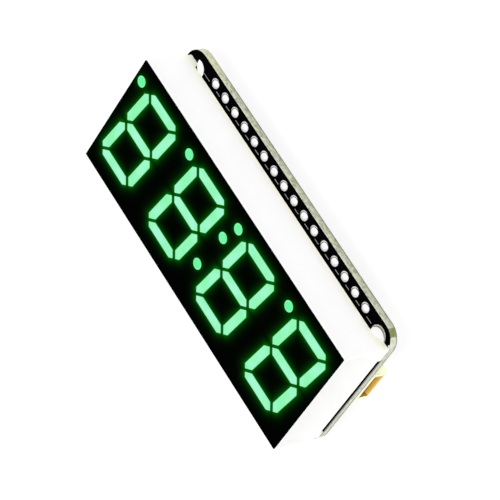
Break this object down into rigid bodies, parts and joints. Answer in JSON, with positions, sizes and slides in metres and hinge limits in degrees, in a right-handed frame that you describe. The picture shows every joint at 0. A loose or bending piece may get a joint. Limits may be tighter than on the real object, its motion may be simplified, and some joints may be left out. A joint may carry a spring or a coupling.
{
  "type": "seven segment display module",
  "caption": "Clock display with slanted lit digits, a colon and decimal points in a white housing with a black face, soldered on a small carrier board with header holes",
  "frame": {"origin": "on the plane that the two connectors rest on, under the middle of the carrier board", "axes": "+Z out of the display face, +X the reading direction, +Y the top of the digits"},
  "size_m": [0.0508, 0.0228, 0.0121],
  "materials": {
    "housing_white": "satin",
    "face_black": "matte",
    "window_green": "lit from behind",
    "die_crystal": "polished",
    "led_laminate": "woven laminate",
    "potting_resin": "gloss",
    "tinned_metal": "bright tin",
    "board_black": "satin solder mask",
    "connector_cream": "satin",
    "chip_black": "matte",
    "capacitor_tan": "matte",
    "resistor_black": "gloss"
  },
  "bodies": {
    "root": {"bulk_capacitor": "capacitor_tan", "carrier_board": "board_black", "chip_part_end_caps": "tinned_metal", "colon_lower_dot": "window_green", "colon_upper_dot": "window_green", "digit_1_decimal_point": "window_green", "digit_1_segment_a": "window_green", "digit_1_segment_b": "window_green", "digit_1_segment_c": "window_green", "digit_1_segment_d": "window_green", "digit_1_segment_e": "window_green", "digit_1_segment_f": "window_green", "digit_1_segment_g": "window_green", "digit_2_decimal_point": "window_green", "digit_2_segment_a": "window_green", "digit_2_segment_b": "window_green", "digit_2_segment_c": "window_green", "digit_2_segment_d": "window_green", "digit_2_segment_e": "window_green", "digit_2_segment_f": "window_green", "digit_2_segment_g": "window_green", "digit_3_decimal_point": "window_green", "digit_3_segment_a": "window_green", "digit_3_segment_b": "window_green", "digit_3_segment_c": "window_green", "digit_3_segment_d": "window_green", "digit_3_segment_e": "window_green", "digit_3_segment_f": "window_green", "digit_3_segment_g": "window_green", "digit_4_decimal_point": "window_green", "digit_4_segment_a": "window_green", "digit_4_segment_b": "window_green", "digit_4_segment_c": "window_green", "digit_4_segment_d": "window_green", "digit_4_segment_e": "window_green", "digit_4_segment_f": "window_green", "digit_4_segment_g": "window_green", "display_housing": "housing_white", "display_pins": "tinned_metal", "driver_chip_body": "chip_black", "driver_chip_leads": "tinned_metal", "face_layer": "face_black", "filter_capacitor": "capacitor_tan", "led_board": "led_laminate", "led_dies": "die_crystal", "left_connector_body": "connector_cream", "left_connector_contacts": "tinned_metal", "left_connector_tabs": "tinned_metal", "pull_up_resistors": "resistor_black", "rear_potting": "potting_resin", "right_connector_body": "connector_cream", "right_connector_contacts": "tinned_metal", "right_connector_tabs": "tinned_metal"}
  },
  "joints": []
}
